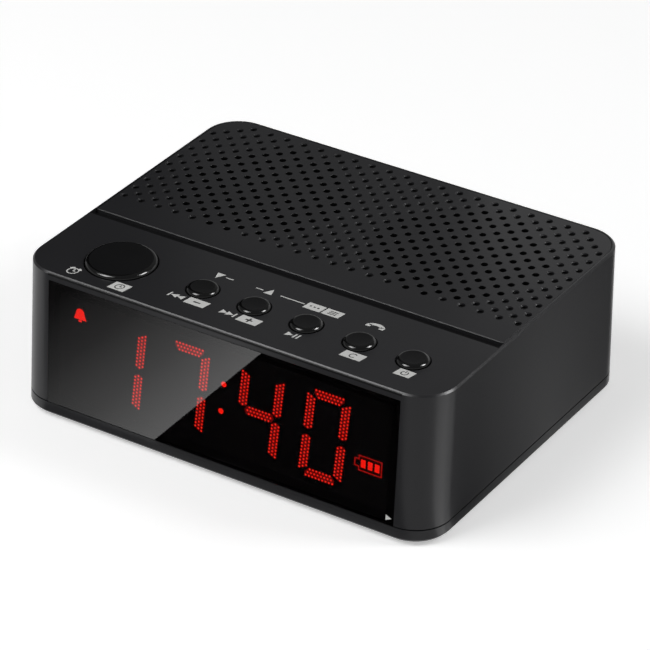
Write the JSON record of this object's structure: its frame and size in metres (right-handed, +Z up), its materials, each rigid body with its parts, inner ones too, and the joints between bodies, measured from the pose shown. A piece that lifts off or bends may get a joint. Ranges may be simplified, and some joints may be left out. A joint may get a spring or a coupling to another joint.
{
  "type": "alarm clock with speaker",
  "caption": "Low black box clock with a leaning smoked display, round deck buttons, perforated rear speaker deck, rear connectors and a sliding battery door.",
  "frame": {"origin": "middle of the bounding box, on the surface under the feet", "axes": "+X to the right of a viewer facing the display, +Y to the back, +Z up; the display faces -Y"},
  "size_m": [0.1386, 0.1092, 0.0476],
  "materials": {
    "case_black": "satin moulded ABS",
    "button_black": "matte top with a smoother rim",
    "smoked_window": "polished smoked acrylic",
    "display_black": "matte moulded",
    "led_red": "clear red diffuser",
    "circuit_board": "solder mask on glass laminate",
    "connector_black": "moulded nylon",
    "zinc_steel": "zinc plated",
    "black_steel": "black oxide",
    "plated_shell": "nickel-plated pressed sheet",
    "pressed_steel": "black painted pressed sheet",
    "ferrite": "sintered ferrite",
    "cone_paper": "pressed black paper pulp",
    "microphone_can": "drawn aluminium can",
    "battery_wrap": "shrink-wrapped cell",
    "gilt_contact": "gold-flashed brass",
    "foot_rubber": "moulded rubber"
  },
  "bodies": {
    "case": {"top_housing": "case_black", "speaker_grille": "case_black", "base_plate": "case_black", "display_lens": "smoked_window", "display_reflector": "display_black", "digit_segments": "led_red", "colon_dots": "led_red", "status_marks": "led_red", "display_board": "circuit_board", "button_board": "circuit_board", "main_board": "circuit_board", "display_board_screws": "zinc_steel", "button_board_screws": "zinc_steel", "main_board_screws": "zinc_steel", "case_screws": "black_steel", "speaker_screws": "zinc_steel", "switch_bodies": "connector_black", "board_chips": "connector_black", "usb_port_shell": "plated_shell", "usb_port_tongue": "connector_black", "charge_port_shell": "plated_shell", "charge_port_tongue": "connector_black", "card_slot": "plated_shell", "audio_jack": "connector_black", "power_switch_body": "plated_shell", "microphone": "microphone_can", "battery": "battery_wrap", "battery_terminals": "gilt_contact", "rubber_feet": "foot_rubber", "left_speaker_frame": "pressed_steel", "left_speaker_magnet": "ferrite", "right_speaker_frame": "pressed_steel", "right_speaker_magnet": "ferrite"},
    "snooze_button": {"snooze_button": "button_black", "snooze_plunger": "connector_black"},
    "previous_button": {"previous_button": "button_black", "previous_plunger": "connector_black"},
    "next_button": {"next_button": "button_black", "next_plunger": "connector_black"},
    "play_button": {"play_button": "button_black", "play_plunger": "connector_black"},
    "call_button": {"call_button": "button_black", "call_plunger": "connector_black"},
    "mode_button": {"mode_button": "button_black", "mode_plunger": "connector_black"},
    "left_cone": {"left_speaker_cone": "cone_paper"},
    "right_cone": {"right_speaker_cone": "cone_paper"},
    "power_knob": {"power_switch_knob": "connector_black"},
    "door": {"battery_door": "case_black"}
  },
  "joints": [
    {"name": "snooze_press", "type": "slide", "parent": "case", "child": "snooze_button", "axis": [0, 0, -1], "range_m": [0, 0.0006], "stiffness_N_per_m": 400, "springref_m": -0.001},
    {"name": "previous_press", "type": "slide", "parent": "case", "child": "previous_button", "axis": [0, 0, -1], "range_m": [0, 0.0006], "stiffness_N_per_m": 400, "springref_m": -0.001},
    {"name": "next_press", "type": "slide", "parent": "case", "child": "next_button", "axis": [0, 0, -1], "range_m": [0, 0.0006], "stiffness_N_per_m": 400, "springref_m": -0.001},
    {"name": "play_press", "type": "slide", "parent": "case", "child": "play_button", "axis": [0, 0, -1], "range_m": [0, 0.0006], "stiffness_N_per_m": 400, "springref_m": -0.001},
    {"name": "call_press", "type": "slide", "parent": "case", "child": "call_button", "axis": [0, 0, -1], "range_m": [0, 0.0006], "stiffness_N_per_m": 400, "springref_m": -0.001},
    {"name": "mode_press", "type": "slide", "parent": "case", "child": "mode_button", "axis": [0, 0, -1], "range_m": [0, 0.0006], "stiffness_N_per_m": 400, "springref_m": -0.001},
    {"name": "left_cone_stroke", "type": "slide", "parent": "case", "child": "left_cone", "axis": [0, 0, 1], "range_m": [-0.0006, 0.0006], "stiffness_N_per_m": 1500},
    {"name": "right_cone_stroke", "type": "slide", "parent": "case", "child": "right_cone", "axis": [0, 0, 1], "range_m": [-0.0006, 0.0006], "stiffness_N_per_m": 1500},
    {"name": "power_slide", "type": "slide", "parent": "case", "child": "power_knob", "axis": [1, 0, 0], "range_m": [0, 0.0022]},
    {"name": "door_slide", "type": "slide", "parent": "case", "child": "door", "axis": [0, 1, 0], "range_m": [0, 0.038]}
  ]
}
